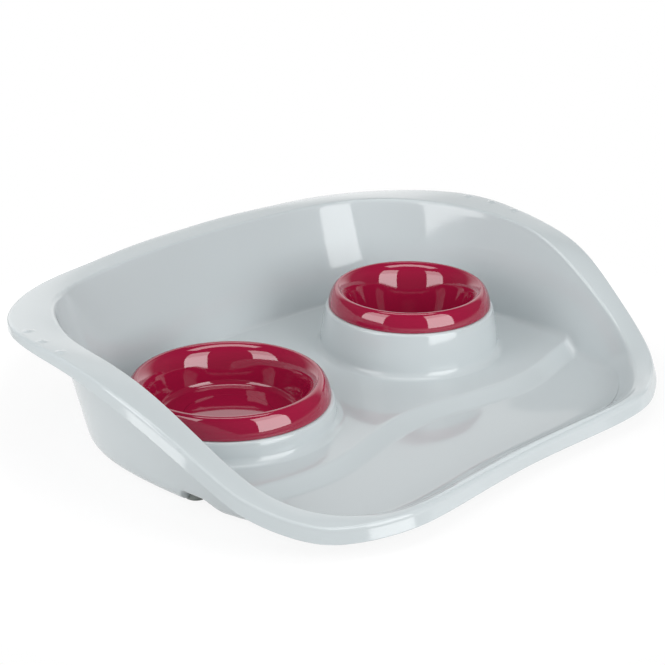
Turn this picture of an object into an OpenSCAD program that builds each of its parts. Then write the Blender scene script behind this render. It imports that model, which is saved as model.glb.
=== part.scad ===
// Feeding tray with two lift-out bowls on raised seats, lying on four rubber feet.
// Millimetres, Z up, X along the row of bowls, Y from the low lip at the front to the high wall at the back.
// The origin is on the ground under the middle of the tray.

/* [Tray] */
// Overall width across the rim
tray_w = 357; // [330:1:400]
// Overall depth from the front lip to the back rim
tray_d = 283; // [265:1:325]
// Height of the rim at the back
rim_h = 73; // [62:1:90]
// Height of the rim at the front lip
lip_h = 17; // [15:0.5:22]
// Thickness of the moulded wall
wall_t = 2.5; // [2:0.1:3]
// Depth of the rim's turned-down skirt at the front lip
front_skirt = 8.5; // [6.5:0.5:9.5]
// Depth of the rim's turned-down skirt at the back
back_skirt = 5; // [4:0.5:9]
// Rounding of the edge under the wall
base_round = 7; // [6:0.5:9]
// Rounding between wall and floor inside, at the front and the sides
floor_fillet = 6; // [4:0.5:8]
// Rounding between wall and floor inside, at the back
back_fillet = 2.5; // [1.5:0.5:5]

/* [Floor] */
// Height of the upper floor round the bowls
deck_h = 10.5; // [9:0.5:13]
// Distance from the tray's middle back to the row of bowls
row_y = 16.5; // [10:0.5:21]
// Distance from the row of bowls forward to the crest of the wave, between the bowls
wave_mid = 66; // [62:1:74]
// How far the wave swings forward round each bowl
wave_swing = 13; // [8:0.5:15]
// Width of the slope from the upper floor down to the front apron
riser_w = 10; // [7:0.5:14]

/* [Bowls] */
// Distance between the centres of the bowls
bowl_pitch = 150; // [140:1:156]
// Outside diameter of the left bowl's collar
left_collar_d = 115; // [102:1:117]
// Outside diameter of the right bowl's collar
right_collar_d = 98.5; // [88:0.5:106]
// Height of the left bowl's collar
left_collar_h = 11.8; // [9:0.2:14]
// Height of the right bowl's collar
right_collar_h = 10.8; // [9:0.2:13]
// Height of the left seat above the ground
left_seat_h = 23; // [20:0.5:26]
// Height of the right seat above the ground
right_seat_h = 36.8; // [30:0.2:44]
// Thickness of a bowl
bowl_t = 2.2; // [1.8:0.1:2.8]
// Width of the right bowl's rolled rim, from its top out to its collar; the left bowl's grows with its collar
roll_w = 6; // [5:0.25:7]
// Gap between a bowl and its seat
seat_gap = 0.3; // [0.2:0.1:0.6]
// Height of the bowls' undersides above the ground
bowl_base_h = 10.5; // [9:0.25:12]
// Rounding between a bowl's wall and its floor
bowl_fillet = 7; // [4:0.5:9]

/* [Feet] */
// Diameter of a rubber foot
foot_d = 13; // [10:0.5:14]
// Height of the foot's pad below its boss
foot_pad_h = 5; // [4:0.25:5.5]
// Height of the wall's lower edge above the ground
ground_gap = 1; // [0.6:0.1:1.5]
// Diameter of the foot's stem
stem_d = 6; // [5:0.25:7]
// Distance from the line where the wall starts in to the middle of a front foot
front_foot_inset = 9; // [8.5:0.5:12]
// Distance from the line where the wall starts in to the middle of a back foot
back_foot_inset = 11; // [10.5:0.5:15]
// Length of the arch in each side wall beside the front foot
arch_l = 27; // [20:1:30]
// How far the middle of that arch lies in front of the foot
arch_shift = 9; // [4:0.5:10]
// Height of that arch above the ground
arch_h = 7.5; // [5:0.25:8]

/* [Hidden] */

half_w = tray_w / 2;
half_d = tray_d / 2;
apron_h = ground_gap + wall_t;
wave_pitch = bowl_pitch + riser_w;
seam = wall_t / 50;
over = wall_t;
crest_round = wall_t / 2;
brim_round = wall_t;
brim_crown = wall_t / 4;
front_flare = 2.5;
steps = 5;
columns = 56;
riser_shares = [-1.15, -1, -0.85, -0.6, -0.35, -0.15, 0, 0.15];
riser_round_share = 0.3;
floor_reach_share = 0.85;

// Bowls and their seats
bowl_draft = 14;
seat_draft = 6.5;
seat_brim = 1.5;
seat_edge = 1.2;
seat_fillet = 8;
seat_fn = 96;
roll_in = 2;
floor_step = 0.8;
floor_step_share = 0.8;
well_gap = 0.8;

// Grip nubs on the rim, three on each side, placed along the rows of the outline tables
nub_r = 2.6;
nub_proud = 0.8;
nub_across_share = 0.75;
nub_pitch_share = 0.46;
left_nub_row = 10.9;
right_nub_row = 10.4;

// Feet
front_foot_row = 8.5;
back_foot_row = 12.5;
pad_gap = 0.15;
stem_gap = 0.1;
stem_h = 3;
foot_round = 0.8;

// Half outlines from the middle of the front to the middle of the back.
// Each row holds shares of the half width, of the half depth and of the rise from lip to rim.
crest_shares = [
    [0, -0.927, 0], [0.194, -0.934, 0], [0.379, -0.943, 0], [0.546, -0.917, -0.01], [0.669, -0.839, 0.007],
    [0.762, -0.736, 0.075], [0.826, -0.616, 0.212], [0.864, -0.466, 0.435], [0.885, -0.3, 0.675],
    [0.9, -0.098, 0.899], [0.896, 0.107, 0.986], [0.868, 0.345, 1], [0.796, 0.563, 0.998],
    [0.671, 0.756, 0.97], [0.444, 0.86, 0.963], [0.215, 0.886, 0.977], [0, 0.895, 0.979]];
brim_shares = [
    [0, -0.966, -0.035], [0.222, -0.973, -0.03], [0.408, -0.985, -0.016], [0.584, -0.973, 0],
    [0.718, -0.895, -0.012], [0.816, -0.803, 0.048], [0.895, -0.66, 0.19], [0.941, -0.509, 0.405],
    [0.98, -0.33, 0.676], [1, -0.122, 0.883], [0.999, 0.136, 1.002], [0.982, 0.429, 1.025],
    [0.882, 0.734, 0.962], [0.676, 0.928, 0.94], [0.434, 0.97, 0.977], [0.197, 0.991, 1.002],
    [0, 1, 1]];
foot_shares = [
    [0, -0.806, 0], [0.174, -0.816, 0], [0.347, -0.827, 0], [0.504, -0.806, 0], [0.616, -0.739, 0],
    [0.7, -0.651, 0], [0.756, -0.544, 0], [0.79, -0.417, 0], [0.81, -0.275, 0], [0.822, -0.092, 0],
    [0.822, 0.08, 0], [0.8, 0.278, 0], [0.731, 0.467, 0], [0.608, 0.599, 0], [0.408, 0.672, 0],
    [0.2, 0.693, 0], [0, 0.703, 0]];

function lerp(a, b, t) = a + (b - a) * t;
function plan(p) = [p.x, p.y];
function lift(p, z) = [p.x, p.y, z];
function mirrored(p) = [-p[0], p[1], p[2]];
function both_halves(half) = concat(half, [for (i = [len(half) - 2:-1:1]) mirrored(half[i])]);
function spline(a, b, c, d, t) =
    (2 * b + (c - a) * t + (2 * a - 5 * b + 4 * c - d) * t * t + (3 * b - a - 3 * c + d) * t * t * t) / 2;
function smooth_loop(p) = let (n = len(p)) [
    for (i = [0:n - 1]) for (k = [0:steps - 1])
        spline(p[(i + n - 1) % n], p[i], p[(i + 1) % n], p[(i + 2) % n], k / steps)];
function bend(a, b, c, n) = [for (k = [0:n]) let (t = k / n) lerp(lerp(a, b, t), lerp(b, c, t), t)];
function sized(shares, base, rise) = [for (s = shares) [s[0] * half_w, s[1] * half_d, base + s[2] * rise]];

crest = smooth_loop(both_halves(sized(crest_shares, lip_h, rim_h - lip_h)));
brim = smooth_loop(both_halves(sized(brim_shares, lip_h, rim_h - lip_h)));
toe = smooth_loop(both_halves(sized(foot_shares, 0, 0)));
samples = len(crest);

// Places on the outlines: at a whole sample, or at a row of the tables.
function outward(i) = let (
    d = crest[(i + 1) % samples] - crest[(i + samples - 1) % samples],
    n = norm(plan(d)))
    [d.y / n, -d.x / n];
function at_row(loop, row) = let (i = floor(row * steps)) lerp(loop[i], loop[i + 1], row * steps - i);
function inside(row, inset) = plan(at_row(toe, row)) - outward(round(row * steps)) * inset;
front_foot = inside(front_foot_row, front_foot_inset);
back_foot = inside(back_foot_row, back_foot_inset);

// The wall leans outward from its toe to its crest. Its outer face is measured level.
function wall_plan(i, z) = lerp(plan(toe[i]), plan(crest[i]), z / crest[i].z);
function wall_out(i) = wall_t * norm([1, norm(plan(crest[i] - toe[i])) / crest[i].z]);
function base_in(i) = base_round - wall_out(i) + wall_t;
function toward_back(i) = ease((brim[i].y + half_d) / tray_d);
function fillet(i) = lerp(floor_fillet, back_fillet, ease(2 * brim[i].y / half_d));

// The wave between the upper floor and the front apron.
function wave_y(x) = row_y - wave_mid - wave_swing * (1 - cos(360 * x / wave_pitch)) / 2;
function ease(t) = let (c = min(max(t, 0), 1)) c * c * (3 - 2 * c);
function filled(t) = t <= 0 ? 0 : t >= 1 ? t - 0.5 : t * t / 2;
function riser(t) = let (r = riser_round_share) (filled(t + r / 2) - filled(t - r / 2)) / r;
function floor_z(x, y) = lerp(apron_h, deck_h, riser((y - wave_y(x)) / riser_w + 1));
function on_floor(p, down) = lift(p, floor_z(p.x, p.y) - down);

// One closed outline of the wall with its rim and skirt, at one place of the loop.
function wall_section(i) = concat(inner_side(i), rim_top(i), outer_side(i));
function inner_side(i) = let (
    n = outward(i),
    tip = wall_plan(i, 0) - n * (base_in(i) + wall_t / 2),
    start = lift(wall_plan(i, 0) - n * fillet(i), -seam),
    up = fillet(i))
    concat(
        [on_floor(tip, wall_t - seam), on_floor(tip, seam)],
        [for (p = bend(start, lift(wall_plan(i, 0), 0), lift(wall_plan(i, up), up), 4)) on_floor(p, -p.z)]);
function rim_top(i) = let (
    n = outward(i),
    edge = brim[i],
    from = lift(plan(crest[i]) + n * crest_round, crest[i].z),
    to = lift(plan(edge) - n * brim_round, edge.z),
    low = crest[i].z - crest_round,
    crown = [0, 0, brim_crown])
    concat(
        bend(lift(wall_plan(i, low), low), crest[i], from, 2),
        [lerp(from, to, 1 / 3) + crown, lerp(from, to, 2 / 3) + crown],
        bend(to, edge, lift(plan(edge), edge.z - brim_round), 3));
function outer_side(i) = let (
    n = outward(i),
    out = wall_out(i),
    edge = brim[i],
    flare = front_flare * (1 - toward_back(i)) * ease(2 * abs(edge.x) / half_w),
    hem = edge.z - lerp(front_skirt, back_skirt, toward_back(i)),
    under = crest[i].z - wall_t - crest_round,
    fold = ground_gap + base_round,
    inner = wall_plan(i, 0) - n * base_in(i))
    concat(
        [lift(plan(edge) + n * flare, hem), lift(plan(edge) + n * (flare - wall_t), hem)],
        [lift(plan(edge) - n * wall_t, edge.z - wall_t - crest_round)],
        [lift(wall_plan(i, under) + n * out, under)],
        bend(lift(wall_plan(i, fold) + n * out, fold), lift(wall_plan(i, ground_gap) + n * out, ground_gap),
            lift(wall_plan(i, 0) - n * (base_round - out), ground_gap), 4),
        [lift(inner, ground_gap), on_floor(inner, wall_t - seam)]);

// A ring of closed outlines, each joined to the next and the last to the first.
module closed_ring(sections) {
    n = len(sections);
    m = len(sections[0]);
    polyhedron(
        points = [for (s = sections) for (p = s) p],
        faces = [for (i = [0:n - 1]) for (j = [0:m - 1]) let (
                a = i * m + j,
                b = i * m + (j + 1) % m,
                c = ((i + 1) % n) * m + (j + 1) % m,
                d = ((i + 1) % n) * m + j)
            each [[a, c, b], [a, d, c]]]);
}

// A row of closed outlines, capped at both ends.
module capped_row(sections) {
    n = len(sections);
    m = len(sections[0]);
    polyhedron(
        points = [for (s = sections) for (p = s) p],
        faces = concat(
            [[for (j = [m - 1:-1:0]) j]],
            [[for (j = [0:m - 1]) (n - 1) * m + j]],
            [for (i = [0:n - 2]) for (j = [0:m - 1]) let (
                    a = i * m + j,
                    b = i * m + (j + 1) % m,
                    c = (i + 1) * m + (j + 1) % m,
                    d = (i + 1) * m + j)
                each [[a, b, c], [a, c, d]]]));
}

// The floor, from side to side in outlines that follow the wave, trimmed to lie inside the wall.
module floor_sheet() {
    reach = half_w * floor_reach_share;
    trim = [for (i = [0:samples - 1])
        wall_plan(i, 0) - outward(i) * min(base_in(i) - wall_t / 2, fillet(i) - wall_t / 4)];
    sections = [for (k = [0:columns]) let (
            x = lerp(-reach, reach, k / columns),
            ys = concat([-half_d], [for (r = riser_shares) wave_y(x) + riser_w * r], [half_d]))
        concat(
            [for (y = ys) on_floor([x, y], 0)],
            [for (j = [len(ys) - 1:-1:0]) on_floor([x, ys[j]], wall_t)])];
    intersection() {
        capped_row(sections);
        linear_extrude(rim_h) polygon(trim);
    }
}

// Sizes of a bowl and its seat, worked out from the collar and the seat's height.
function roll(collar_d) = roll_w * collar_d / right_collar_d;
function top_r(collar_d) = collar_d / 2 - roll(collar_d);
function throat_r(collar_d) = top_r(collar_d) - roll_in;
function bowl_top(seat_h, collar_h) = seat_h + seat_gap + collar_h;
function inner_r(collar_d, top, z) = throat_r(collar_d) - (top - 1.5 * roll_in - z) * tan(bowl_draft);
function skin() = bowl_t / cos(bowl_draft);
function well_r(collar_d, seat_h, collar_h) =
    inner_r(collar_d, bowl_top(seat_h, collar_h), seat_h) + skin() + well_gap;
function seat_r(collar_d) = collar_d / 2 + seat_brim;
function seat_foot_r(collar_d, seat_h) = seat_r(collar_d) + (seat_h - deck_h) * tan(seat_draft);

// The raised seat round a well, as one turned shell with the hollow under it open below.
module seat(collar_d, seat_h, collar_h) {
    rs = seat_r(collar_d);
    rw = well_r(collar_d, seat_h, collar_h);
    rf = seat_foot_r(collar_d, seat_h);
    well_z = bowl_base_h - 2 * seat_gap;
    rotate_extrude($fn = seat_fn)
        polygon(concat(
            [[0, well_z], [rw - seat_edge, well_z], [rw, well_z + seat_edge], [rw, seat_h - seat_edge],
                [rw + seat_edge, seat_h]],
            bend([rs - 2 * seat_edge, seat_h], [rs, seat_h],
                [rs + seat_edge * tan(seat_draft), seat_h - 1.5 * seat_edge], 3),
            bend([rf - seat_fillet * tan(seat_draft), deck_h + seat_fillet], [rf, deck_h],
                [rf + seat_fillet, deck_h - seam], 5),
            [[rf + seat_fillet, deck_h - wall_t + seam], [rf - wall_t, deck_h - wall_t + seam],
                [rs - wall_t, seat_h - wall_t], [rw + wall_t, seat_h - wall_t],
                [rw + wall_t, well_z - wall_t], [0, well_z - wall_t]]));
}

module at_bowl(side) {
    translate([side * bowl_pitch / 2, row_y, 0]) children();
}

module at_feet() {
    for (side = [0, 1]) mirror([side, 0, 0]) {
        translate(front_foot) children();
        translate(back_foot) children();
    }
}

// Three nubs in a row on one side of the rim, just in front of the back corner.
module nubs(row) {
    for (k = [-1:1]) let (
        r = row + k * nub_pitch_share,
        p = lerp(at_row(crest, r), at_row(brim, r), nub_across_share))
        translate([p.x, p.y, p.z + brim_crown * 2 / 3])
            scale([1, 1, nub_proud / nub_r]) sphere(nub_r, $fn = 24);
}

// The arches in the side walls' lower edges, beside the front feet.
module arches() {
    r = (arch_l * arch_l / 4 + arch_h * arch_h) / (2 * arch_h);
    for (side = [0, 1]) mirror([side, 0, 0])
        translate([front_foot.x, front_foot.y - arch_shift, arch_h - r])
            rotate([0, 90, 0]) cylinder(r = r, h = half_w - front_foot.x, $fn = 64);
}

module shell() {
    closed_ring([for (i = [0:samples - 1]) wall_section(i)]);
    difference() {
        floor_sheet();
        at_bowl(-1) cylinder(r = seat_foot_r(left_collar_d, left_seat_h), h = rim_h, $fn = seat_fn);
        at_bowl(1) cylinder(r = seat_foot_r(right_collar_d, right_seat_h), h = rim_h, $fn = seat_fn);
    }
    at_bowl(-1) seat(left_collar_d, left_seat_h, left_collar_h);
    at_bowl(1) seat(right_collar_d, right_seat_h, right_collar_h);
    nubs(right_nub_row);
    mirror([1, 0, 0]) nubs(left_nub_row);
}

module tray() {
    color("#c6cfd0") difference() {
        union() {
            difference() {
                shell();
                arches();
            }
            at_feet() cylinder(d = foot_d, h = deck_h - wall_t / 2, $fn = 48);
        }
        at_feet() translate([0, 0, -over]) {
            cylinder(d = foot_d + 2 * pad_gap, h = foot_pad_h + stem_gap + over, $fn = 48);
            cylinder(d = stem_d + 2 * stem_gap, h = foot_pad_h + stem_h + stem_gap + over, $fn = 48);
        }
    }
}

// A bowl turned in one piece: floor, wall, rolled rim and the collar that rests on the seat.
module bowl(collar_d, seat_h, collar_h) {
    r = collar_d / 2;
    low = seat_h + seat_gap;
    top = bowl_top(seat_h, collar_h);
    rt = top_r(collar_d);
    floor_top = bowl_base_h + bowl_t;
    ri = inner_r(collar_d, top, floor_top);
    step_r = (ri - bowl_fillet) * floor_step_share;
    under = top - 1.5 * bowl_t;
    throat_z = top - 1.5 * roll_in;
    color("#a01c40") rotate_extrude($fn = seat_fn)
        polygon(concat(
            [[0, bowl_base_h + floor_step], [step_r - floor_step, bowl_base_h + floor_step],
                [step_r, bowl_base_h]],
            bend([ri + skin() - bowl_fillet - bowl_t, bowl_base_h],
                [inner_r(collar_d, top, bowl_base_h) + skin(), bowl_base_h],
                [inner_r(collar_d, top, floor_top + bowl_fillet) + skin(), floor_top + bowl_fillet], 5),
            [[inner_r(collar_d, top, under - bowl_t) + skin(), under - bowl_t],
                [inner_r(collar_d, top, under) + skin() + bowl_t / 2, under],
                [r - 1.5 * bowl_t, under], [r - bowl_t, under - bowl_t],
                [r - bowl_t, low], [r - bowl_t / 4, low]],
            bend([r, lerp(low, top, 0.3)], [r - roll(collar_d) / 8, top], [rt + roll(collar_d) / 6, top], 7),
            [[rt, top - roll_in / 8]],
            bend([rt - roll_in / 4, top - roll_in / 4], [rt - roll_in, top - roll_in],
                [throat_r(collar_d), throat_z], 3),
            bend([inner_r(collar_d, top, floor_top + bowl_fillet), floor_top + bowl_fillet], [ri, floor_top],
                [ri - bowl_fillet, floor_top], 5),
            [[step_r, floor_top], [step_r - floor_step, floor_top + floor_step],
                [0, floor_top + floor_step]]));
}

module foot(side, place) {
    color("#8f9491") translate([side * place.x, place.y, 0]) rotate_extrude($fn = 48)
        polygon([[0, 0], [foot_d / 2 - foot_round, 0], [foot_d / 2, foot_round], [foot_d / 2, foot_pad_h],
            [stem_d / 2, foot_pad_h], [stem_d / 2, foot_pad_h + stem_h - foot_round],
            [stem_d / 2 - foot_round, foot_pad_h + stem_h], [0, foot_pad_h + stem_h]]);
}

tray();
at_bowl(-1) bowl(left_collar_d, left_seat_h, left_collar_h);  // left_bowl
at_bowl(1) bowl(right_collar_d, right_seat_h, right_collar_h);  // right_bowl
foot(-1, front_foot);  // foot_front_left
foot(1, front_foot);  // foot_front_right
foot(-1, back_foot);  // foot_back_left
foot(1, back_foot);  // foot_back_right
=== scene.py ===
"""Feeding tray with two lift-out bowls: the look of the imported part, in the part's own frame.

Lengths are in millimetres up to Builder.mesh, which makes metres of them. Stage, lamps and camera are in metres.
"""
import math
import bpy
import bmesh
import numpy as np
from mathutils import Matrix, Vector
from mathutils.geometry import delaunay_2d_cdt

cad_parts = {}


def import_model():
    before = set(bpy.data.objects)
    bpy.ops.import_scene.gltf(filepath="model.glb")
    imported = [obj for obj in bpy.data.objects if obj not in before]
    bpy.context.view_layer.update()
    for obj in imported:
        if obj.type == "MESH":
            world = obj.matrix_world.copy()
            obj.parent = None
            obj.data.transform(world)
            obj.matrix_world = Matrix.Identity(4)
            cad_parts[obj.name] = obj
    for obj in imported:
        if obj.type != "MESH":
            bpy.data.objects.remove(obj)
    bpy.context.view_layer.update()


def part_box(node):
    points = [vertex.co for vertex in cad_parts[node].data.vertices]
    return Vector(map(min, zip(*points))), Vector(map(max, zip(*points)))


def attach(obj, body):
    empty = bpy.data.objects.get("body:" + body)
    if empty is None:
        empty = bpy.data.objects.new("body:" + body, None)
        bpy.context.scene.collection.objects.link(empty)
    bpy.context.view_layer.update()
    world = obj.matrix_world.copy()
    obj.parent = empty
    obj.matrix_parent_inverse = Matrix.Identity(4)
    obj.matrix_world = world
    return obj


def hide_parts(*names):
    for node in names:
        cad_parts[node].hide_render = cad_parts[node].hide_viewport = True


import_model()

MM = 0.001

# Tray. The flare, fillets, crown, arches and the fall of the apron differ a little from the source, to follow
# the photograph.
HALF_W, HALF_D, RIM_H, LIP_H, WALL = 178.5, 141.5, 73, 17, 2.5
FRONT_SKIRT, BACK_SKIRT, FRONT_FLARE = 8.5, 5, 2.1
BASE_ROUND, GAP, HEM_ROUND, UNDER_DROP = 7, 1, 0.6, 1.2
CROWN, RIM_ROWS = 0.38, 18
# Fillet between floor and wall in front, beside and behind, and where along y each passes into the next,
# as start and length
FRONT_FILLET, FLOOR_FILLET, BACK_FILLET = 8, 5, 2
FRONT_TO_SIDE, SIDE_TO_BACK = (-105, 40), (-45, 65)
# Rounding of the crest and of the brim's edge, what a back corner and the front lip add, and how far these reach
CREST_ROUND, CREST_CORNER, CREST_LIP, BRIM_ROUND, BRIM_LIP = 1.2, 1.2, 1.4, 1.9, 0.5
CREST_DROP, CREST_DROP_LIP = 1.2, 0.6
CORNER_Y, CORNER_REACH, CORNER_X = 80, 45, 60
LIP_Y, LIP_REACH = 95, 30

# Floor: apron in front, wave, upper floor behind. From the wave's foot the apron falls towards the lip,
# by APRON_FALL per mm over APRON_W.
APRON_H, APRON_W, APRON_FALL, DECK_H = 3.5, 50, 0.02, 10.5
ROW_Y, WAVE_MID, WAVE_SWING, WAVE_PITCH, RISER_W, RISER_ROUND = 16.5, 66, 13, 160, 10, 0.3

# Arches in the side walls' lower edges: start and length of the rise behind and in front, along y
ARCH_BACK, ARCH_FRONT = (26, 3.5), (-53.5, 13)
ARCH_RISE, ARCH_X, ARCH_FOLD, ARCH_TAIL = 6.4, 120, 0.55, 0.6

# Grip nubs: side and row in the outline tables, pitch in rows, place across the rim, radius, height and fullness
NUB_ROWS = ((1, 10.4), (-1, 10.9))
NUB_PITCH, NUB_ACROSS, NUB_R, NUB_H, NUB_POWER = 0.46, 0.75, 2.7, 0.75, 0.8

# Spacing of the sections round the tray: everywhere, beside the arches and beside the nubs, with these zones
STEP, ARCH_STEP, NUB_STEP, FINE = 1.3, 0.45, 0.5, 8001
ARCH_ZONE_Y, ARCH_ZONE_REACH, ARCH_ZONE_X = -42, 36, 110
NUB_ZONE_Y, NUB_ZONE_REACH, NUB_ZONE_X = 42, 34, 100
TANGENT_REACH = 2

# Bowls: middle, thickness and underside; then middle, collar diameter, seat height and collar height of each.
# Inner lean, inner roll, floor bend and the collar's lower edge differ from the source, to follow the photograph.
BOWL_X, BOWL_T, BOWL_BASE, SEAT_GAP = 75, 2.2, 10.5, 0.3
SMALL_COLLAR, ROLL_W = 98.5, 6
BOWLS = {"left_bowl": (-BOWL_X, 115, 23, 11.8), "right_bowl": (BOWL_X, SMALL_COLLAR, 36.8, 10.8)}
DRAFT, INNER_LEAN = math.tan(math.radians(14)), math.tan(math.radians(16))
SKIN = BOWL_T / math.cos(math.radians(14))
THROAT_IN, THROAT_DROP = 2, 3
BOWL_FILLET, FLOOR_BEND, STEP_SHARE, STEP_H, AXIS_GAP = 7.0, 3.0, 0.8, 0.8, 0.6
# Inner roll: a tight and a slow arc, and the slopes in degrees where they start, meet and end
INNER_ROLL, STEEP, HALFWAY, SLACK = 10.5, 68, 27, 16
SLOW_ROLL = 2.4 * INNER_ROLL
EDGE_SHARE, EDGE_DROP, COLLAR_DROP = 1.04, 0.2, 0.2

# Seats and wells. Draft, fillet and belly differ from the source, to follow the photograph.
SEAT_DRAFT, SEAT_FILLET, SEAT_BELLY = 8.5, 4.2, 0.07
SEAT_LEAN = math.tan(math.radians(SEAT_DRAFT))
SEAT_BRIM, SEAT_ROUND, SEAT_FLAT, WELL_GAP, WELL_EDGE, WELL_ROUND = 1.5, 1.6, 1.8, 0.8, 1.0, 2
WELL_Z = BOWL_BASE - 2 * SEAT_GAP

# Feet and their bosses, as radius and height
FEET = ("foot_front_left", "foot_front_right", "foot_back_left", "foot_back_right")
FOOT_R, FOOT_CLEAR = 6.5, 7.2
BOSS = [
    (FOOT_R, DECK_H - WALL), (FOOT_R, 6.5), (FOOT_R, 5.4), (6.2, 5.1), (5, 5.1), (3.5, 5.1), (3.1, 5.4),
    (3.1, 6.5), (3.1, 8.0), (2.6, 8.1), (0.8, 8.1)]

# Sides of the turned forms
SEAT_SIDES, UNDER_SIDES, FOOT_SIDES = 256, 160, 64

# Points that fill the floor: along the wave, in a wide grid elsewhere, and in rings round the seats
WAVE_SPAN, WAVE_STEP, WAVE_MARGIN = 150, 2.0, 1.5
GRID_X, GRID_Y, GRID, GRID_CLEAR = 152, 128, 8.0, 4
RING_STEP, RING_SPACING, RING_NEAR, RING_CLEAR, FILLET_RINGS = 1.0, 2.2, 0.5, 1.2, 3
TOP_STEP, UNDER_STEP = 0.5, 1.0

# Half outlines from the middle of the front to the middle of the back, as in the source:
# shares of the half width, of the half depth and of the rise from lip to rim.
CREST = [
    (0, -0.927, 0), (0.194, -0.934, 0), (0.379, -0.943, 0), (0.546, -0.917, -0.01), (0.669, -0.839, 0.007),
    (0.762, -0.736, 0.075), (0.826, -0.616, 0.212), (0.864, -0.466, 0.435), (0.885, -0.3, 0.675),
    (0.9, -0.098, 0.899), (0.896, 0.107, 0.986), (0.868, 0.345, 1), (0.796, 0.563, 0.998),
    (0.671, 0.756, 0.97), (0.444, 0.86, 0.963), (0.215, 0.886, 0.977), (0, 0.895, 0.979)]
BRIM = [
    (0, -0.966, -0.035), (0.222, -0.973, -0.03), (0.408, -0.985, -0.016), (0.584, -0.973, 0),
    (0.718, -0.895, -0.012), (0.816, -0.803, 0.048), (0.895, -0.66, 0.19), (0.941, -0.509, 0.405),
    (0.98, -0.33, 0.676), (1, -0.122, 0.883), (0.999, 0.136, 1.002), (0.982, 0.429, 1.025),
    (0.882, 0.734, 0.962), (0.676, 0.928, 0.94), (0.434, 0.97, 0.977), (0.197, 0.991, 1.002),
    (0, 1, 1)]
TOE = [
    (0, -0.806, 0), (0.174, -0.816, 0), (0.347, -0.827, 0), (0.504, -0.806, 0), (0.616, -0.739, 0),
    (0.7, -0.651, 0), (0.756, -0.544, 0), (0.79, -0.417, 0), (0.81, -0.275, 0), (0.822, -0.092, 0),
    (0.822, 0.08, 0), (0.8, 0.278, 0), (0.731, 0.467, 0), (0.608, 0.599, 0), (0.408, 0.672, 0),
    (0.2, 0.693, 0), (0, 0.703, 0)]


def ease(t):
    t = np.clip(t, 0, 1)
    return t * t * (3 - 2 * t)


def run(value, start, length):
    """0 up to start, 1 from start + length on, and a smooth step between."""
    return ease((value - start) / length)


def lerp(a, b, t):
    return a + (b - a) * t


def col(a):
    """One number for each place, as a column that scales points."""
    return np.asarray(a, float)[:, None]


def periodic_spline(knots, values, at):
    """A smooth closed cubic through values at the knots; knots has one more entry than values."""
    n = len(values)
    h = np.diff(knots)
    a = np.zeros((n, n))
    b = np.zeros((n, values.shape[1]))
    for i in range(n):
        p, q = (i - 1) % n, (i + 1) % n
        a[i, p] += h[p]
        a[i, i] += 2 * (h[p] + h[i])
        a[i, q] += h[i]
        b[i] = 6 * ((values[q] - values[i]) / h[i] - (values[i] - values[p]) / h[p])
    m = np.linalg.solve(a, b)
    k = np.clip(np.searchsorted(knots, at, side="right") - 1, 0, n - 1)
    q = (k + 1) % n
    w = col(h[k])
    u = col(at - knots[k])
    v = w - u
    curve = (m[k] * v ** 3 + m[q] * u ** 3) / (6 * w)
    return curve + (values[k] / w - m[k] * w / 6) * v + (values[q] / w - m[q] * w / 6) * u


def whole(half, base=0.0, rise=0.0):
    """A half outline and its mirror image, in millimetres."""
    p = np.array(half, float)
    p = np.vstack([p, (p * (-1, 1, 1))[-2:0:-1]])
    return np.column_stack([p[:, 0] * HALF_W, p[:, 1] * HALF_D, base + p[:, 2] * rise])


def arc(a, k, c, n):
    """Points of a round bend from a to c whose tangents meet at k."""
    u, v = k - a, c - k
    cosine = (u * v).sum(-1) / np.maximum(np.linalg.norm(u, axis=-1) * np.linalg.norm(v, axis=-1), 1e-9)
    w = np.sqrt((1 + np.clip(cosine, -1, 1)) / 2)[..., None]
    points = []
    for t in np.linspace(0, 1, n + 1):
        s, m, e = (1 - t) ** 2, 2 * w * t * (1 - t), t * t
        points.append((s * a + m * k + e * c) / (s + m + e))
    return points


def bend(a, k, c, n):
    """An arc in an outline to turn, whose points are given as radius and height."""
    return arc(np.array(a, float), np.array(k, float), np.array(c, float), n)


# Outlines of the tray, and how far each place on them is a back corner, behind or at the front lip

crest_k, brim_k, toe_k = whole(CREST, LIP_H, RIM_H - LIP_H), whole(BRIM, LIP_H, RIM_H - LIP_H), whole(TOE)
steps = np.linalg.norm(np.roll(crest_k, -1, 0) - crest_k, axis=1)
knots = np.concatenate([[0], np.cumsum(steps)])
total = knots[-1]


def stations():
    """Places along the outline: STEP apart, closer at the arches and the grip nubs."""
    fine = np.linspace(0, total, FINE)
    p = periodic_spline(knots, toe_k, fine)
    c = periodic_spline(knots, crest_k, fine)
    step = np.full(len(fine), STEP)
    step[(np.abs(p[:, 1] - ARCH_ZONE_Y) < ARCH_ZONE_REACH) & (np.abs(p[:, 0]) > ARCH_ZONE_X)] = ARCH_STEP
    step[(np.abs(c[:, 1] - NUB_ZONE_Y) < NUB_ZONE_REACH) & (np.abs(c[:, 0]) > NUB_ZONE_X)] = NUB_STEP
    density = np.cumsum(1 / step)
    density = (density - density[0]) / (density[-1] - density[0])
    count = int((total / len(fine) / step).sum())
    return np.interp(np.arange(count) / count, density, fine)


at = stations()
crest = periodic_spline(knots, crest_k, at)
brim = periodic_spline(knots, brim_k, at)
toe = periodic_spline(knots, toe_k, at)
after = periodic_spline(knots, crest_k, (at + TANGENT_REACH) % total)
before = periodic_spline(knots, crest_k, (at - TANGENT_REACH) % total)
tangent = after - before
out = np.column_stack([tangent[:, 1], -tangent[:, 0], 0 * at])
out /= np.linalg.norm(out, axis=1)[:, None]
up = np.array([0, 0, 1.0])

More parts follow.
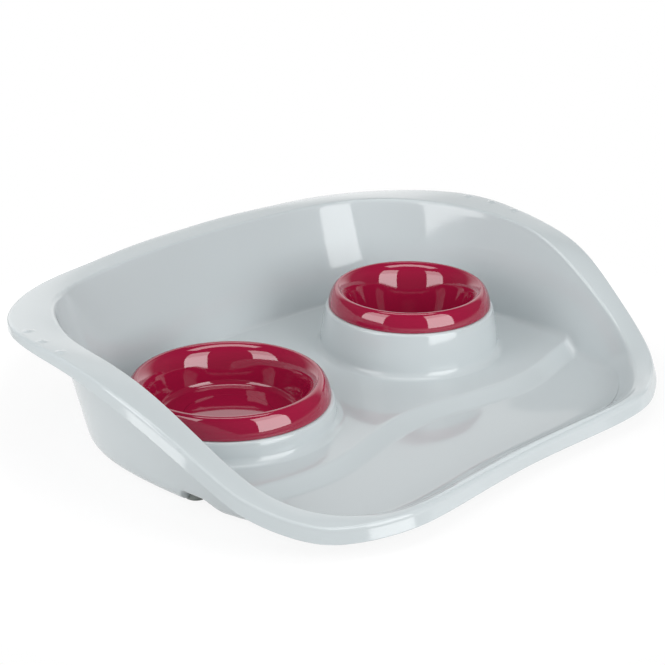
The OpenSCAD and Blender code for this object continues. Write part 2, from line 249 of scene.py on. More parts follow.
lean = np.linalg.norm((crest - toe)[:, :2], axis=1) / crest[:, 2]
thick = WALL * np.hypot(1, lean)
back = run(brim[:, 1], -HALF_D, 2 * HALF_D)
corner = np.exp(-(((crest[:, 1] - CORNER_Y) / CORNER_REACH) ** 2)) * (np.abs(crest[:, 0]) > CORNER_X)
front = run(-crest[:, 1], LIP_Y, LIP_REACH)
round_in = CREST_ROUND + CREST_CORNER * corner + CREST_LIP * front
round_out = BRIM_ROUND + BRIM_LIP * front


# Floor

def wave_y(x):
    """Where the wave meets the upper floor."""
    return ROW_Y - WAVE_MID - WAVE_SWING * (1 - np.cos(2 * np.pi * x / WAVE_PITCH)) / 2


def filled(t):
    return np.where(t <= 0, 0, np.where(t >= 1, t - 0.5, t * t / 2))


def base_z(x, y):
    """Height of the floor's upper side."""
    t = (y - wave_y(x)) / RISER_W + 1
    apron = APRON_H + APRON_FALL * np.clip(APRON_W + RISER_W * np.minimum(t, 0), 0, APRON_W)
    rise = (filled(t + RISER_ROUND / 2) - filled(t - RISER_ROUND / 2)) / RISER_ROUND
    return lerp(apron, DECK_H, rise)


def floor_z(p):
    return base_z(p[:, 0], p[:, 1])


def on_floor(p):
    """Points whose heights were counted from the floor, in place."""
    return np.column_stack([p[:, 0], p[:, 1], floor_z(p) + p[:, 2]])


# The wall, the rim with its skirt and the outer side, as one strip of outlines round the tray

def wall(z):
    """The wall's inner face at a height, or at one height for each place."""
    z = np.broadcast_to(z, at.shape)
    q = lerp(toe, crest * (1, 1, 0), col(z / crest[:, 2]))
    q[:, 2] = z
    return q


def flat(p, z):
    return np.column_stack([p[:, 0], p[:, 1], np.broadcast_to(z, at.shape)])


def arch_lift():
    """How far the arches raise the lower edge."""
    y = toe[:, 1]
    rise = run(-y, *ARCH_BACK) * run(y, *ARCH_FRONT)
    return np.where(np.abs(toe[:, 0]) > ARCH_X, ARCH_RISE * rise, 0)


def strip():
    """Sections of the wall and rim, from the floor over the rim to the underside, and which rows are the rim."""
    rows = []
    # fillet between floor and wall
    y = toe[:, 1]
    fillet = lerp(lerp(FRONT_FILLET, FLOOR_FILLET, run(y, *FRONT_TO_SIDE)), BACK_FILLET, run(y, *SIDE_TO_BACK))
    foot = toe
    for _ in range(4):
        level = floor_z(foot)
        foot = wall(level)
    tilt = fillet / np.hypot(1, lean)
    for q in arc(flat(foot - out * col(fillet), 0), flat(foot, 0), flat(wall(level + tilt), tilt), 9):
        rows.append(on_floor(q))
    # wall
    top_in = crest[:, 2] - round_in * (CREST_DROP + CREST_DROP_LIP * front)
    low = rows[-1]
    for t in (0.04, 0.2, 0.4, 0.6, 0.8, 0.94):
        rows.append(wall(lerp(low[:, 2], top_in, t)))
    # rounded crest
    edge_from = flat(crest + out * col(round_in), crest[:, 2])
    edge_to = flat(brim - out * col(round_out), brim[:, 2])
    rows += arc(wall(top_in), crest, edge_from, 7)
    # crowned rim
    for t in np.linspace(0, 1, RIM_ROWS + 2)[1:-1]:
        q = lerp(edge_from, edge_to, t)
        q[:, 2] += CROWN * 4 * t * (1 - t)
        rows.append(q)
    rim_rows = (len(rows) - RIM_ROWS, len(rows))
    # rounded outer edge and skirt
    flare = FRONT_FLARE * (1 - back) * ease(2 * np.abs(brim[:, 0]) / HALF_W)
    hem = brim[:, 2] - lerp(FRONT_SKIRT, BACK_SKIRT, back)
    hem_out = flat(brim + out * col(flare), hem)
    hem_in = flat(brim + out * col(flare - WALL), hem)
    start = flat(brim, brim[:, 2] - round_out)
    rows += arc(edge_to, brim, start, 7)
    for t in (0.1, 0.5, 0.9):
        rows.append(lerp(start, hem_out, t))
    rows += arc(lerp(start, hem_out, 0.95), hem_out, lerp(hem_out, hem_in, 0.25), 3)
    rows += arc(lerp(hem_out, hem_in, 0.75), hem_in, hem_in + up * HEM_ROUND, 3)
    # underside of the rim
    inner_top = flat(brim - out * WALL, brim[:, 2] - WALL - UNDER_DROP)
    under = wall(crest[:, 2] - WALL - UNDER_DROP) + out * col(thick)
    rows.append(lerp(hem_in, inner_top, 0.85))
    rows += arc(lerp(hem_in, inner_top, 0.88), inner_top, lerp(inner_top, under, 0.12), 3)
    rows.append(lerp(inner_top, under, 0.5))
    # outer face of the wall
    base_lift = arch_lift()
    gap = GAP + base_lift
    fold = gap + BASE_ROUND - ARCH_FOLD * base_lift
    down = wall(fold) + out * col(thick)
    rows += arc(lerp(under, inner_top, 0.12), under, lerp(under, down, 0.05), 3)
    for t in (0.1, 0.35, 0.6, 0.8, 0.94):
        rows.append(lerp(under, down, t))
    # rounding under the wall, its flat edge and the inner side
    tail = BASE_ROUND - ARCH_TAIL * base_lift
    sole = flat(toe + out * col(thick - tail), gap)
    inner = flat(toe - out * col(BASE_ROUND - thick + WALL), gap)
    rows += arc(down, wall(gap) + out * col(thick), sole, 8)
    rows += arc(lerp(sole, inner, 0.8), inner, inner + up * HEM_ROUND, 3)
    last = inner.copy()
    last[:, 2] = floor_z(inner) - WALL
    rows.append(last)
    return np.stack(rows, 1), rim_rows


def nubs(section, rim_rows):
    """Three low oval grips on each side of the rim, raised out of its surface."""
    pts = section[:, rim_rows[0]:rim_rows[1]]
    for side, row in NUB_ROWS:
        for k in (-1, 0, 1):
            r = row + k * NUB_PITCH
            i = int(r)
            place = np.array([lerp(knots[i], knots[i + 1], r - i)])
            c = periodic_spline(knots, crest_k, place)[0]
            b = periodic_spline(knots, brim_k, place)[0]
            mid = lerp(c, b, NUB_ACROSS) * (side, 1, 1)
            d = np.hypot(pts[..., 0] - mid[0], pts[..., 1] - mid[1]) / NUB_R
            pts[..., 2] += NUB_H * np.clip(1 - d * d, 0, 1) ** NUB_POWER


section, rim_rows = strip()
nubs(section, rim_rows)


# Seats, as outlines to turn

def roll(collar_d):
    """Width of a bowl's rolled rim."""
    return ROLL_W * collar_d / SMALL_COLLAR


def seat_radii(collar_d, seat_h, collar_h):
    """Radius of the seat at its top, at its foot and of its well."""
    rs = collar_d / 2 + SEAT_BRIM
    top = seat_h + SEAT_GAP + collar_h
    throat = collar_d / 2 - roll(collar_d) - THROAT_IN
    rw = throat - (top - THROAT_DROP - seat_h) * DRAFT + SKIN + WELL_GAP
    return rs, rs + (seat_h - DECK_H) * SEAT_LEAN, rw


def seat_outline(rs, rf, rw, seat_h):
    """Radius and height from the floor's fillet up over the seat and down into the well."""
    big = SEAT_FILLET / math.tan(math.radians(90 - SEAT_DRAFT) / 2)
    p = [(rf + SEAT_FILLET - big * math.sin(a), DECK_H + big * (1 - math.cos(a)))
         for a in np.radians(np.linspace(0, 90 - SEAT_DRAFT, 12))]
    cone = np.array([rs + SEAT_ROUND * SEAT_LEAN, seat_h - SEAT_ROUND])
    foot = np.array(p[-1])
    p += [lerp(foot, cone, t) + (SEAT_BELLY * (seat_h - DECK_H) * t * (1 - t), 0)
          for t in np.linspace(0, 1, 12)[1:-1]]
    p += bend(cone, (rs, seat_h), (rs - SEAT_FLAT, seat_h), 6)
    p += [(lerp(rs - SEAT_FLAT, rw + 1.2 * WELL_EDGE, t), seat_h) for t in (0.1, 0.5, 0.9)]
    p += bend((rw + WELL_EDGE, seat_h), (rw, seat_h), (rw, seat_h - WELL_EDGE), 5)
    p += [(rw, lerp(seat_h - WELL_EDGE, WELL_Z + WELL_ROUND, t)) for t in (0.05, 0.5, 0.95)]
    p += bend((rw, WELL_Z + WELL_ROUND), (rw, WELL_Z), (rw - WELL_ROUND, WELL_Z), 5)
    p += [(rw * t, WELL_Z) for t in (0.9, 0.6, 0.3, 0.1)]
    return p


def seat_under(rs, rf, rw, seat_h):
    """Radius and height of the seat's hollow side, from the floor in to the middle of the well."""
    z0, z1, z2 = DECK_H - WALL, seat_h - WALL, WELL_Z - WALL
    p = [(rf - WALL, z0)]
    p += [(lerp(rf - WALL, rs - WALL, t), lerp(z0, z1, t)) for t in (0.05, 0.5, 0.95)]
    p += [(rs - WALL - 0.4, z1), (rs - WALL - 1.2, z1), (rw + WALL + 1, z1), (rw + WALL, z1 - 0.4),
          (rw + WALL, lerp(seat_h, WELL_Z, 0.5)), (rw + WALL, z2 + 0.6), (rw + WALL - 0.6, z2)]
    p += [(rw * t, z2) for t in (0.9, 0.5, 0.1)]
    return p


class Builder:
    """Collects points and faces of one mesh."""

    def __init__(self):
        self.points = []
        self.faces = []
        self.count = 0

    def add(self, pts):
        pts = np.asarray(pts, float).reshape(-1, 3)
        ids = np.arange(self.count, self.count + len(pts))
        self.points.append(pts)
        self.count += len(pts)
        return ids

    def rows(self, ids):
        """Quads between neighbouring rows of a grid of point numbers; the first axis runs round and closes."""
        after = np.roll(ids, -1, 0)
        q = np.stack([ids[:, :-1], after[:, :-1], after[:, 1:], ids[:, 1:]], -1).reshape(-1, 4)
        self.faces += q.tolist()

    def turn(self, cx, cy, outline, count):
        """A turned form round a vertical axis, its last row closed to a point."""
        ang = 2 * np.pi * np.arange(count) / count
        o = np.array(outline, float)
        pts = np.stack([cx + np.cos(ang)[:, None] * o[:, 0], cy + np.sin(ang)[:, None] * o[:, 0],
                        np.broadcast_to(o[:, 1], (count, len(o)))], -1)
        ids = self.add(pts).reshape(count, len(o))
        self.rows(ids)
        tip = self.add([[cx, cy, o[-1, 1]]])[0]
        last = ids[:, -1]
        for i in range(count):
            self.faces.append([int(last[i]), int(last[(i + 1) % count]), int(tip)])
        return ids

    def sheet(self, outer, holes, inner, height, keep):
        """Fills the area between point loops with triangles; inner points get their height from a function."""
        all_pts = np.vstack(self.points)
        loops = [outer] + holes
        flat_pts = []
        edges = []
        for loop in loops:
            s = len(flat_pts)
            flat_pts += all_pts[loop][:, :2].tolist()
            edges += [(s + i, s + (i + 1) % len(loop)) for i in range(len(loop))]
        fixed = np.concatenate(loops)
        offset = len(flat_pts)
        flat_pts += inner.tolist()
        res = delaunay_2d_cdt([Vector(p) for p in flat_pts], edges, [list(range(len(outer)))], 1, 1e-7)
        xy = np.array([tuple(v) for v in res[0]])
        new = np.full(len(xy), -1)
        for i, src in enumerate(res[3]):
            old = [s for s in src if s < offset]
            if old:
                new[i] = fixed[old[0]]
        free = np.where(new < 0)[0]
        new[free] = self.add(np.column_stack([xy[free], height(xy[free])]))
        tri = np.array(res[2])
        tri = tri[keep(xy[tri].mean(1))]
        self.faces += new[tri].tolist()

    def mesh(self, name):
        me = bpy.data.meshes.new(name)
        me.from_pydata((np.vstack(self.points) * MM).tolist(), [], self.faces)
        bm = bmesh.new()
        bm.from_mesh(me)
        loose = [v for v in bm.verts if not v.link_faces]
        bmesh.ops.delete(bm, geom=loose, context="VERTS")
        bmesh.ops.recalc_face_normals(bm, faces=bm.faces)
        bm.to_mesh(me)
        bm.free()
        for p in me.polygons:
            p.use_smooth = True
        obj = bpy.data.objects.new(name, me)
        bpy.context.scene.collection.objects.link(obj)
        return obj


def inside(loop, pts):
    """Whether points lie inside a closed outline."""
    x, y = pts[:, 0], pts[:, 1]
    hit = np.zeros(len(pts), bool)
    ax, ay = loop[:, 0], loop[:, 1]
    bx, by = np.roll(ax, -1), np.roll(ay, -1)
    for i in range(len(loop)):
        cross = (ay[i] > y) != (by[i] > y)
        if cross.any():
            hit ^= cross & (x < (bx[i] - ax[i]) * (y - ay[i]) / (by[i] - ay[i] + 1e-12) + ax[i])
    return hit


def shrink(loop, by):
    """A closed outline moved inward."""
    d = np.roll(loop, -3, 0) - np.roll(loop, 3, 0)
    n = np.column_stack([d[:, 1], -d[:, 0]])
    n /= np.linalg.norm(n, axis=1)[:, None]
    return loop - n * by


def floor_points(loop, circles, riser_step):
    """Points inside a loop and outside circles: close together on the wave and on the seats' fillets."""
    pts = []
    for x in np.arange(-WAVE_SPAN, WAVE_SPAN + 0.1, WAVE_STEP):
        y0 = float(wave_y(x))
        pts += [(x, y0 + r) for r in np.arange(-RISER_W - WAVE_MARGIN, WAVE_MARGIN + 0.1, riser_step)]
    for x in np.arange(-GRID_X, GRID_X + 1, GRID):
        for y in np.arange(-GRID_Y, GRID_Y + 1, GRID):
            r = y - float(wave_y(x))
            if r > GRID_CLEAR or r < -RISER_W - GRID_CLEAR:
                pts.append((x, y))
    for bx, r0, r1 in circles:
        for r in np.arange(r0 + RING_STEP, r1 + RING_STEP + 0.01, RING_STEP):
            n = int(2 * np.pi * r / RING_SPACING)
            a = 2 * np.pi * np.arange(n) / n
            pts += np.column_stack([bx + r * np.cos(a), ROW_Y + r * np.sin(a)]).tolist()
    pts = np.array(pts)
    ok = inside(loop, pts)
    for bx, r0, r1 in circles:
        d = np.hypot(pts[:, 0] - bx, pts[:, 1] - ROW_Y)
        ring = np.abs(d - np.round(d - r0) - r0) < 1e-6
        ok &= (d > r1 + RING_CLEAR) | ((d > r0 + RING_NEAR) & ring)
    return pts[ok]


def feet_places():
    """Middles of the four feet, from the boxes of their nodes."""
    spots = []
    for name in FEET:
        lo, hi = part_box(name)
        spots.append(((lo[0] + hi[0]) / 2 / MM, (lo[1] + hi[1]) / 2 / MM))
    return spots


def beyond(pts, spots, radius):
    """Which points lie farther than a radius from every spot."""
    ok = np.ones(len(pts), bool)
    for x, y in spots:
        ok &= np.hypot(pts[:, 0] - x, pts[:, 1] - y) > radius
    return ok


def clear_of_seats(pts, circles, sides):
    """Which points lie outside the seats, whose circles are polygons with that many sides."""
    ok = np.ones(len(pts), bool)
    for bx, r0, _ in circles:
        ok &= beyond(pts, [(bx, ROW_Y)], r0 * math.cos(math.pi / sides) - 0.001)
    return ok


def make_tray(feet):
    b = Builder()
    n, m, _ = section.shape
    ids = b.add(section).reshape(n, m)
    b.rows(ids)
    top_holes, top_circles, under_holes, under_circles = [], [], [], []
    for bx, collar_d, seat_h, collar_h in BOWLS.values():
        radii = seat_radii(collar_d, seat_h, collar_h)
        outline = seat_outline(*radii, seat_h)
        top_holes.append(b.turn(bx, ROW_Y, outline, SEAT_SIDES)[:, 0])
        top_circles.append((bx, outline[0][0], outline[0][0] + FILLET_RINGS))
        under = seat_under(*radii, seat_h)
        under_holes.append(b.turn(bx, ROW_Y, under, UNDER_SIDES)[:, 0])
        under_circles.append((bx, under[0][0], under[0][0]))
    for fx, fy in feet:
        under_holes.append(b.turn(fx, fy, BOSS, FOOT_SIDES)[:, 0])
    pts = floor_points(shrink(section[:, 0, :2], 1.0), top_circles, TOP_STEP)
    b.sheet(ids[:, 0], top_holes, pts, floor_z, lambda mid: clear_of_seats(mid, top_circles, SEAT_SIDES))
    pts = floor_points(shrink(section[:, -1, :2], 1.0), under_circles, UNDER_STEP)
    pts = pts[beyond(pts, feet, FOOT_CLEAR)]
    b.sheet(ids[:, -1], under_holes, pts, lambda q: floor_z(q) - WALL,
            lambda mid: clear_of_seats(mid, under_circles, UNDER_SIDES) & beyond(mid, feet, FOOT_R))
    return b.mesh("tray_shell_look")


# Bowls and feet

def bowl_outline(collar_d, seat_h, collar_h):
    """Radius and height from the middle of the underside out, up over the collar and the rim, and down inside."""
    r = collar_d / 2
    w = roll(collar_d)
    low = seat_h + SEAT_GAP
    top = low + collar_h
    floor_top = BOWL_BASE + BOWL_T

    def outside_r(z):
        return r - w - THROAT_IN - (top - THROAT_DROP - z) * DRAFT + SKIN

    turns = np.array([(math.sin(math.radians(b)), math.cos(math.radians(b))) for b in (STEEP, HALFWAY, SLACK)])
    drop, inset = INNER_ROLL * (turns[0] - turns[1]) + SLOW_ROLL * (turns[1] - turns[2])
    ri = r - EDGE_SHARE * w + inset - (top - EDGE_DROP - drop - floor_top) * INNER_LEAN
    step_r = (ri - BOWL_FILLET) * STEP_SHARE
    # underside, with its low step, and the outside of the wall
    raised = BOWL_BASE + STEP_H
    p = [(AXIS_GAP, raised), (step_r * 0.5, raised), (step_r - 1.2, raised)]
    p += bend((step_r - 1.0, raised), (step_r - 0.5, raised), (step_r - 0.2, BOWL_BASE + 0.3), 2)
    p += [(step_r, BOWL_BASE), (step_r + 1, BOWL_BASE)]
    z0, under = floor_top + BOWL_FILLET, top - 1.5 * BOWL_T
    z1 = under - BOWL_T
    p += bend((outside_r(BOWL_BASE) - BOWL_FILLET - BOWL_T, BOWL_BASE), (outside_r(BOWL_BASE), BOWL_BASE),
              (outside_r(z0), z0), 9)
    p += [(outside_r(lerp(z0, z1, t)), lerp(z0, z1, t)) for t in (0.1, 0.5, 0.95)]
    p += bend((outside_r(z1), z1), (outside_r(under), under), (outside_r(under) + 1.5, under), 4)
    # inside of the collar, its lower edge and its full round shoulder
    hollow = r - BOWL_T
    p += bend((r - 2.2 * BOWL_T, under), (hollow, under), (hollow, under - 2.0), 4)
    edge_z = low - COLLAR_DROP
    p += bend((hollow, low + 0.5), (hollow, edge_z), (hollow + 0.5, edge_z), 3)
    p += bend((r - 0.6, edge_z), (r - 0.1, edge_z), (r - 0.03, edge_z + 0.5), 4)
    a, c = np.array([r, low + 0.1 * collar_h]), np.array([r - 0.06 * w, low + 0.5 * collar_h])
    d, e = np.array([r - 0.44 * w, top + 0.04]), np.array([r - 0.84 * w, top + 0.04])
    for t in np.linspace(0, 1, 29):
        u = 1 - t
        p.append(u ** 3 * a + 3 * u * u * t * c + 3 * u * t * t * d + t ** 3 * e)
    # crisp inner edge of the rim, then the inner roll as two arcs
    edge = np.array([r - EDGE_SHARE * w, top - EDGE_DROP])
    p += [(edge[0] + 0.7, top)]
    p += bend(edge + (0.45, 0.18), edge + (0.12, 0.16), edge + (-0.12, -0.12), 4)
    start, slope = edge, math.radians(STEEP)
    for radius, end in ((INNER_ROLL, math.radians(HALFWAY)), (SLOW_ROLL, math.atan(INNER_LEAN))):
        centre = start + (radius * math.cos(slope), -radius * math.sin(slope))
        p += [(centre[0] - radius * math.cos(b), centre[1] + radius * math.sin(b))
              for b in np.linspace(slope, end, 12)[1:]]
        start, slope = np.array(p[-1]), end
    # inner wall, the bend into the floor and the floor's low step
    wall_r, wall_z = start
    zf = floor_top + FLOOR_BEND
    for t in (0.05, 0.35, 0.65, 0.95):
        z = lerp(wall_z, zf, t)
        p.append((wall_r - (wall_z - z) * INNER_LEAN, z))
    p += bend((wall_r - (wall_z - zf) * INNER_LEAN, zf), (ri, floor_top), (ri - FLOOR_BEND, floor_top), 9)
    p += [(lerp(ri - FLOOR_BEND, step_r + 1, 0.1), floor_top), (step_r + 1.0, floor_top)]
    shelf = floor_top + STEP_H
    p += bend((step_r + 0.3, floor_top), (step_r - 0.1, floor_top), (step_r - 0.5, floor_top + 0.4), 3)
    p += bend((step_r - 0.5, floor_top + 0.4), (step_r - 0.9, shelf), (step_r - 1.4, shelf), 4)[1:]
    p += [(step_r * 0.8, shelf), (step_r * 0.4, shelf), (AXIS_GAP, shelf)]
    return p


def foot_outline():
    """Radius and height of a foot, from the hollow in its sole out and up to its stem."""
    p = [(0.4, 0.7), (2.4, 0.7), (3.2, 0.5), (3.8, 0.05), (4.2, 0), (5.4, 0)]
    p += bend((5.6, 0), (FOOT_R, 0), (FOOT_R, 0.9), 4)
    p += [(FOOT_R, 1.6), (FOOT_R, 4.4)]
    p += bend((FOOT_R, 4.6), (FOOT_R, 5), (6.1, 5), 3)
    p += [(5.5, 5), (3.4, 5), (3.05, 5.15), (3.0, 5.5), (3.0, 7.2), (2.9, 7.6), (2.4, 8), (0.4, 8)]
    return p


def make_turned(name, cx, cy, outline, count):
    """A closed turned solid whose outline starts and ends near the axis."""
    b = Builder()
    ids = b.turn(cx, cy, outline, count)
    tip = b.add([[cx, cy, outline[0][1]]])[0]
    first = ids[:, 0]
    for i in range(count):
        b.faces.append([int(first[(i + 1) % count]), int(first[i]), int(tip)])
    return b.mesh(name)


# Materials

def new_material(name):
    m = bpy.data.materials.new(name)
    m.use_nodes = True
    t = m.node_tree
    return m, t.nodes, t.links, t.nodes["Principled BSDF"]


def noise(n, l, coord, scale, detail):
    """A noise in the object's own coordinates."""
    tex = n.new("ShaderNodeTexNoise")
    tex.inputs["Scale"].default_value = scale
    tex.inputs["Detail"].default_value = detail
    l.new(coord.outputs["Object"], tex.inputs["Vector"])
    return tex.outputs["Fac"]


def mixed_colour(n, l, factor, first, second, target):
    """Runs a target from one colour to another with a factor."""
    mix = n.new("ShaderNodeMix")
    mix.data_type = "RGBA"
    mix.inputs["A"].default_value = (*first, 1)
    mix.inputs["B"].default_value = (*second, 1)
    l.new(factor, mix.inputs["Factor"])
    l.new(mix.outputs["Result"], target)


def bumped(n, l, height, strength, distance, target):
    """Sends a height through a bump, with its distance in metres, to a normal."""
    bump = n.new("ShaderNodeBump")
    bump.inputs["Strength"].default_value = strength
    bump.inputs["Distance"].default_value = distance
    l.new(height, bump.inputs["Height"])
    l.new(bump.outputs["Normal"], target)


def plastic(name, colour, shade, roughness, waviness, gloss):
    """Glossy moulded plastic: faint flow marks, a fine haze in the gloss, and a slow and a quick ripple."""
    m, n, l, b = new_material(name)
    b.inputs["IOR"].default_value = 1.5
    b.inputs["Specular IOR Level"].default_value = gloss
    b.inputs["Metallic"].default_value = 0
    coord = n.new("ShaderNodeTexCoord")
    flow = noise(n, l, coord, 9, 3)
    mixed_colour(n, l, flow, colour, shade, b.inputs["Base Color"])
    span = n.new("ShaderNodeMapRange")
    span.inputs["From Min"].default_value = 0.3
    span.inputs["From Max"].default_value = 0.7
    span.inputs["To Min"].default_value = roughness[0]
    span.inputs["To Max"].default_value = roughness[1]
    l.new(noise(n, l, coord, 60, 4), span.inputs["Value"])
    l.new(span.outputs["Result"], b.inputs["Roughness"])
    both = n.new("ShaderNodeMath")
    both.operation = "MULTIPLY_ADD"
    both.inputs[1].default_value = 0.45
    l.new(noise(n, l, coord, 85, 1), both.inputs[0])
    l.new(noise(n, l, coord, 22, 1), both.inputs[2])
    bumped(n, l, both.outputs[0], waviness, 0.001, b.inputs["Normal"])
    return m


def rubber():
    m, n, l, b = new_material("foot_rubber_look")
    b.inputs["Roughness"].default_value = 0.7
    b.inputs["IOR"].default_value = 1.52
    grain = noise(n, l, n.new("ShaderNodeTexCoord"), 900, 3)
    mixed_colour(n, l, grain, (0.24, 0.265, 0.25), (0.30, 0.32, 0.305), b.inputs["Base Color"])
    bumped(n, l, grain, 0.35, 0.0002, b.inputs["Normal"])
    return m


def dress(obj, material, slot, body, *nodes):
    obj.data.materials.append(material)
    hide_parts(*nodes)
    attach(obj, body)


tray_look = plastic("tray_plastic", (0.559, 0.606, 0.622), (0.539, 0.587, 0.603), (0.07, 0.10), 0.06, 0.58)
bowl_look = plastic("bowl_plastic", (0.325, 0.008, 0.043), (0.297, 0.0065, 0.039), (0.03, 0.06), 0.03, 0.95)
foot_look = rubber()

feet = feet_places()
dress(make_tray(feet), tray_look, "tray_shell", "tray", "tray")
for name, (bx, *size) in BOWLS.items():
    dress(make_turned(name + "_look", bx, ROW_Y, bowl_outline(*size), SEAT_SIDES), bowl_look, "bowl", name, name)
for name, (fx, fy) in zip(FEET, feet):
    dress(make_turned(name + "_look", fx, fy, foot_outline(), FOOT_SIDES), foot_look, "foot_rubber", "tray", name)


# Stage, light and camera

# Radiance of the lamps; the light all round from below and above; what the gloss sees. 1 is white.
RIGHT, LEFT, TOP = 3.9, 3.45, 3.0
GROUND, AMBIENT, FLOOR = 0.2, 0.29, 1.12
BACK_LOW, BACK_HIGH, FLANK, ROOM, CEILING, GLEAM = 1.9, 1.3, 0.15, 0.1, 0.05, 0.8
WHITE = (1, 1, 1, 1)

# The floor under the part: its radius and corners, and where its glow passes from shaded to full
STAGE_R, STAGE_SIDES = 0.3, 96
GLOW_FROM, GLOW_TO, GLOW_NEAR = 0.2, 0.29, 0.78

# Right and left windows, each of two panes that meet one above the other: name, height and share of the radiance
PANES = (("low", 0.265, 1.1), ("high", 0.755, 0.8))
PANE_W, PANE_H, WINDOW_AWAY, RIGHT_X, LEFT_Y = 0.48, 0.49, 0.7, 0.015, 0.16
TOP_PLACE, TOP_W, TOP_H, TOP_TURN = (0.02, 0.02, 1.25), 0.95, 0.34, 45.8

CAMERA_PLACE, CAMERA_LOOK = (-0.6801, -0.6534, 0.4332), (0.66245, 0.64487, -0.38107)
CAMERA_RIGHT, LENS, SENSOR = (0.6975, -0.7165, 0), 96.3, 36
# Level direction in which the paper sweep stands that the gloss sees
SWEEP_SIDE = (0.7166, 0.6975, 0)


def is_seen(n, l, *kinds):
    """1 for rays of these kinds, 0 for the rest."""
    path = n.new("ShaderNodeLightPath")
    value = path.outputs[kinds[0]]
    for k in kinds[1:]:
        top = n.new("ShaderNodeMath")
        top.operation = "MAXIMUM"
        l.new(value, top.inputs[0])
        l.new(path.outputs[k], top.inputs[1])
        value = top.outputs[0]
    return value


def stage_floor():
    me = bpy.data.meshes.new("stage_floor")
    rim = [(STAGE_R * math.cos(a), STAGE_R * math.sin(a), 0)
           for a in np.linspace(0, 2 * np.pi, STAGE_SIDES + 1)[:-1]]
    me.from_pydata(rim, [], [tuple(range(STAGE_SIDES))])
    obj = bpy.data.objects.new("stage_floor", me)
    bpy.context.scene.collection.objects.link(obj)
    m, n, l, b = new_material("stage_white")
    b.inputs["Base Color"].default_value = (0.6, 0.6, 0.6, 1)
    b.inputs["Roughness"].default_value = 0.9
    b.inputs["Specular IOR Level"].default_value = 0
    glow = n.new("ShaderNodeEmission")
    glow.inputs["Color"].default_value = WHITE
    glow.inputs["Strength"].default_value = FLOOR
    mix = n.new("ShaderNodeMixShader")
    amount = n.new("ShaderNodeMath")
    amount.operation = "MULTIPLY"
    coord = n.new("ShaderNodeTexCoord")
    far = n.new("ShaderNodeVectorMath")
    far.operation = "LENGTH"
    share = n.new("ShaderNodeMapRange")
    share.inputs["From Min"].default_value = GLOW_FROM
    share.inputs["From Max"].default_value = GLOW_TO
    share.inputs["To Min"].default_value = GLOW_NEAR
    share.inputs["To Max"].default_value = 1
    l.new(coord.outputs["Object"], far.inputs[0])
    l.new(far.outputs["Value"], share.inputs["Value"])
    l.new(share.outputs["Result"], amount.inputs[1])
    l.new(is_seen(n, l, "Is Camera Ray", "Is Glossy Ray"), amount.inputs[0])
    l.new(amount.outputs[0], mix.inputs["Fac"])
    l.new(b.outputs[0], mix.inputs[1])
    l.new(glow.outputs[0], mix.inputs[2])
    l.new(mix.outputs[0], n["Material Output"].inputs["Surface"])
    me.materials.append(m)


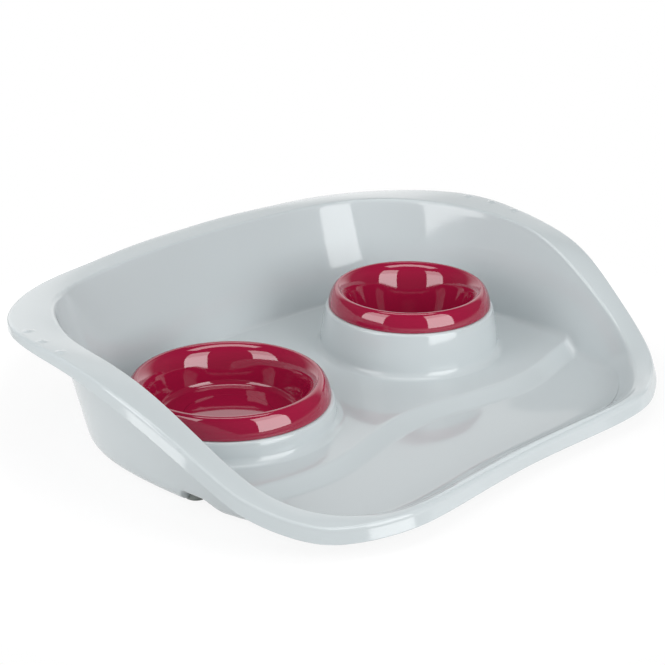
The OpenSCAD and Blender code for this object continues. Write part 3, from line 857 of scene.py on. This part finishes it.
def world():
    w = bpy.data.worlds.new("studio")
    bpy.context.scene.world = w
    w.use_nodes = True
    n, l = w.node_tree.nodes, w.node_tree.links
    ground = n["Background"]
    ground.inputs["Color"].default_value = WHITE
    seen = n.new("ShaderNodeBackground")
    seen.inputs["Color"].default_value = WHITE
    seen.inputs["Strength"].default_value = 1
    # what the gloss sees: a bright paper sweep behind the object, a ceiling and a darker room in front
    room = n.new("ShaderNodeBackground")
    coord = n.new("ShaderNodeTexCoord")
    facing = n.new("ShaderNodeVectorMath")
    facing.operation = "DOT_PRODUCT"
    facing.inputs[1].default_value = SWEEP_SIDE
    height = n.new("ShaderNodeSeparateXYZ")
    l.new(coord.outputs["Generated"], facing.inputs[0])
    l.new(coord.outputs["Generated"], height.inputs[0])

    def blend(value, low, high, below, above):
        """below where value is under low, above where it is over high; each a number or a socket."""
        r = n.new("ShaderNodeMapRange")
        r.interpolation_type = "SMOOTHSTEP"
        for key, v in (("From Min", low), ("From Max", high), ("To Min", below), ("To Max", above)):
            if isinstance(v, (int, float)):
                r.inputs[key].default_value = v
            else:
                l.new(v, r.inputs[key])
        l.new(value, r.inputs["Value"])
        return r.outputs["Result"]

    z, ahead = height.outputs["Z"], facing.outputs["Value"]
    sweep = blend(z, 0.2, 0.5, BACK_LOW, BACK_HIGH)
    sides = blend(ahead, -0.1, 0.3, ROOM, blend(ahead, 0.55, 0.85, FLANK, sweep))
    above = blend(z, 0.6, 0.9, sides, CEILING)
    l.new(blend(z, -0.1, 0.05, GLEAM, above), room.inputs["Strength"])
    l.new(blend(z, -0.1, 0.1, GROUND, AMBIENT), ground.inputs["Strength"])
    first = n.new("ShaderNodeMixShader")
    l.new(is_seen(n, l, "Is Glossy Ray"), first.inputs["Fac"])
    l.new(ground.outputs[0], first.inputs[1])
    l.new(room.outputs[0], first.inputs[2])
    last = n.new("ShaderNodeMixShader")
    l.new(is_seen(n, l, "Is Camera Ray"), last.inputs["Fac"])
    l.new(first.outputs[0], last.inputs[1])
    l.new(seen.outputs[0], last.inputs[2])
    l.new(last.outputs[0], n["World Output"].inputs["Surface"])


def toward(place, aim):
    return (Vector(aim) - Vector(place)).to_track_quat("-Z", "Y").to_euler()


def softbox(name, place, rotation, width, height, radiance):
    light = bpy.data.lights.new(name, "AREA")
    light.shape = "RECTANGLE"
    light.size, light.size_y = width, height
    light.energy = radiance * width * height * math.pi
    obj = bpy.data.objects.new(name, light)
    bpy.context.scene.collection.objects.link(obj)
    obj.location = place
    obj.rotation_euler = rotation
    obj.visible_camera = False


def camera():
    data = bpy.data.cameras.new("camera")
    data.lens, data.sensor_width = LENS, SENSOR
    obj = bpy.data.objects.new("camera", data)
    bpy.context.scene.collection.objects.link(obj)
    look, right = Vector(CAMERA_LOOK), Vector(CAMERA_RIGHT).normalized()
    turn = Matrix.Identity(3)
    turn.col[0], turn.col[1], turn.col[2] = right, right.cross(look).normalized(), -look.normalized()
    obj.matrix_world = Matrix.Translation(CAMERA_PLACE) @ turn.to_4x4()
    bpy.context.scene.camera = obj


stage_floor()
world()
for part, z, share in PANES:
    place, aim = (RIGHT_X, -WINDOW_AWAY, z), (RIGHT_X, 0, z)
    softbox("softbox_right_" + part, place, toward(place, aim), PANE_W, PANE_H, RIGHT * share)
    place, aim = (-WINDOW_AWAY, LEFT_Y, z), (0, LEFT_Y, z)
    softbox("softbox_left_" + part, place, toward(place, aim), PANE_W, PANE_H, LEFT * share)
softbox("softbox_top", TOP_PLACE, (0, 0, -math.radians(TOP_TURN)), TOP_W, TOP_H, TOP)
camera()
bpy.context.scene.view_settings.view_transform = "Standard"
